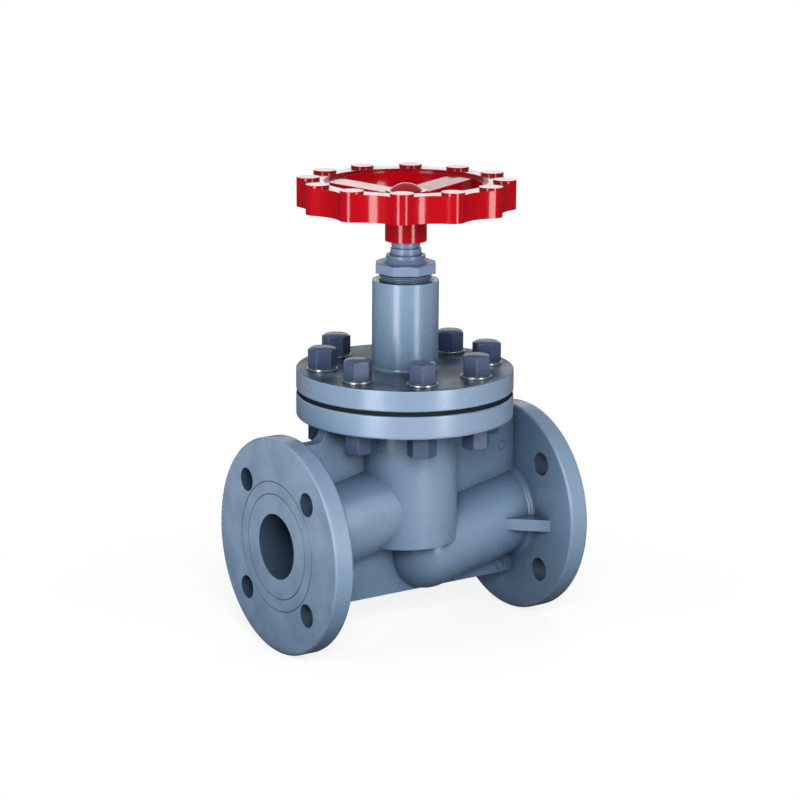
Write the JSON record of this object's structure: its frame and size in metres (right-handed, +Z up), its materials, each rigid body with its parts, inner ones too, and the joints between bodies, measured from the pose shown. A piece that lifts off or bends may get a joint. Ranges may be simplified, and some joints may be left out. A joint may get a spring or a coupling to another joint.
{
  "type": "globe valve",
  "caption": "Flanged plastic globe valve with a bolted bonnet, octagonal gland nut, rising stem and lobed red handwheel.",
  "frame": {"origin": "under the crossing of the flow axis and the stem axis, at the height of the lowest points of the end flanges", "axes": "+X along the flow axis out of the inlet flange (the flange under the seat), +Z up along the stem axis"},
  "size_m": [0.23, 0.165, 0.3504],
  "materials": {
    "body_plastic": "moulded grey-blue rigid PVC, semi-gloss",
    "bonnet_plastic": "turned and moulded grey-blue rigid PVC, semi-gloss",
    "gland_plastic": "moulded darker grey rigid PVC, satin",
    "stem_plastic": "turned grey rigid PVC, satin",
    "cap_plastic": "moulded dark slate plastic, satin",
    "gasket_rubber": "black sheet rubber",
    "seal_rubber": "black moulded rubber",
    "ptfe": "white PTFE",
    "stud_steel": "plain stainless steel",
    "washer_steel": "bright plated steel",
    "wheel_red": "moulded red ABS, glossy"
  },
  "bodies": {
    "valve": {"valve_body": "body_plastic", "bonnet": "bonnet_plastic", "bonnet_gasket": "gasket_rubber", "bonnet_studs": "stud_steel", "stud_nuts_upper": "stud_steel", "stud_nuts_lower": "stud_steel", "stud_washers_upper": "washer_steel", "stud_washers_lower": "washer_steel", "nut_caps_upper": "cap_plastic", "nut_caps_lower": "cap_plastic", "stem_oring": "seal_rubber", "packing_washer": "ptfe", "packing_ring_1": "ptfe", "packing_ring_2": "ptfe", "packing_ring_3": "ptfe", "gland_follower": "stem_plastic", "gland_nut": "gland_plastic"},
    "disc_group": {"disc": "body_plastic", "disc_seal": "seal_rubber", "disc_seal_plate": "body_plastic", "disc_screw": "stud_steel", "disc_nut": "body_plastic"},
    "stem_group": {"stem": "stem_plastic", "handwheel": "wheel_red", "wheel_washer": "washer_steel", "wheel_nut": "stud_steel", "wheel_cap": "wheel_red"}
  },
  "joints": [
    {"name": "disc_lift", "type": "slide", "parent": "valve", "child": "disc_group", "axis": [0, 0, 1], "range_m": [0, 0.02]},
    {"name": "stem_turn", "type": "hinge", "parent": "disc_group", "child": "stem_group", "pos_m": [0, 0, 0.2], "axis": [0, 0, 1], "range_deg": [0, 1800]}
  ],
  "couplings": [
    {"joint": "disc_lift", "follows": "stem_turn", "m_per_rad": 0.0006366}
  ]
}
